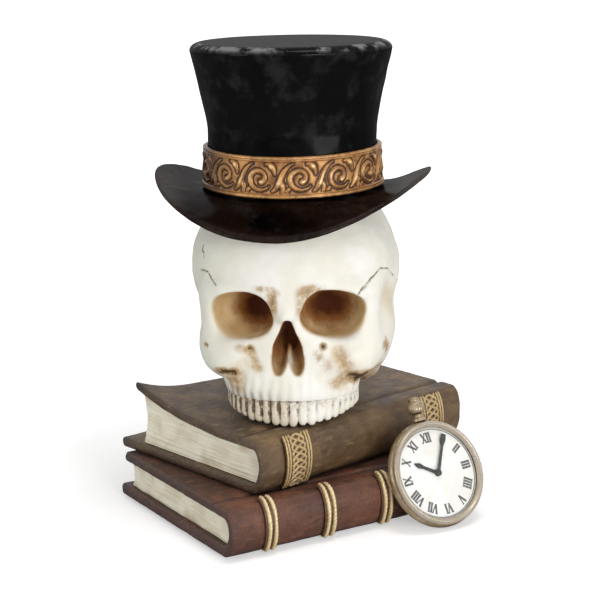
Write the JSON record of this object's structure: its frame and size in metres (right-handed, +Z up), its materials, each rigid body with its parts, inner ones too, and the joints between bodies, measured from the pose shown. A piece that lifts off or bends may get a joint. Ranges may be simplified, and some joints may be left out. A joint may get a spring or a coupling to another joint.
{
  "type": "halloween skull decoration",
  "caption": "Halloween decoration: a bone-coloured skull in a black top hat with a gold band rests on two old books, and an open pocket watch leans on their spines.",
  "frame": {"origin": "on the table, under the middle of the lower book", "axes": "+Z up, the skull's face looks along -Y, +X to the right as one looks at the face"},
  "size_m": [0.1602, 0.1715, 0.2026],
  "materials": {
    "felt": "thin black felt pad",
    "red_brown_leather_paint": "cast resin painted as worn red-brown leather, dark in the creases",
    "dark_leather_paint": "cast resin painted as worn dark brown leather, dry-brushed grey on the high spots",
    "page_paint": "cast resin painted cream with brown streaks between the leaves",
    "gilt_paint": "pale gold paint over dark brown",
    "bone_paint": "cast resin painted off-white, with a brown wash in the sockets and hollows",
    "tooth_paint": "off-white paint with a brown wash between the teeth",
    "hat_black_gloss": "glossy black paint, worn brown at the brim's edge",
    "antique_gold_paint": "antique gold paint over dark brown, bright on the raised scrolls",
    "champagne_paint": "champagne-silver metallic paint",
    "dial_white": "white dial with dark grey roman numerals",
    "hand_grey": "dark grey paint",
    "steel": "plain drawn pin, hidden"
  },
  "bodies": {
    "root": {"base_felt": "felt", "lower_book_cover": "red_brown_leather_paint", "lower_book_pages": "page_paint", "lower_book_cord_1": "gilt_paint", "lower_book_cord_2": "gilt_paint", "lower_book_cord_3": "gilt_paint", "lower_book_cord_4": "gilt_paint", "upper_book_cover": "dark_leather_paint", "upper_book_pages": "page_paint", "upper_book_ornament_left": "gilt_paint", "upper_book_ornament_right": "gilt_paint", "skull": "bone_paint", "upper_teeth": "tooth_paint", "top_hat": "hat_black_gloss", "hat_band": "antique_gold_paint", "watch_case": "champagne_paint", "watch_bezel": "champagne_paint", "watch_dial": "dial_white", "watch_hour_hand": "hand_grey", "watch_minute_hand": "hand_grey", "watch_hand_post": "hand_grey", "watch_pendant": "champagne_paint", "watch_crown": "champagne_paint", "watch_pin": "steel", "book_dowel_1": "steel", "book_dowel_2": "steel", "skull_dowel_1": "steel", "skull_dowel_2": "steel"}
  },
  "joints": []
}
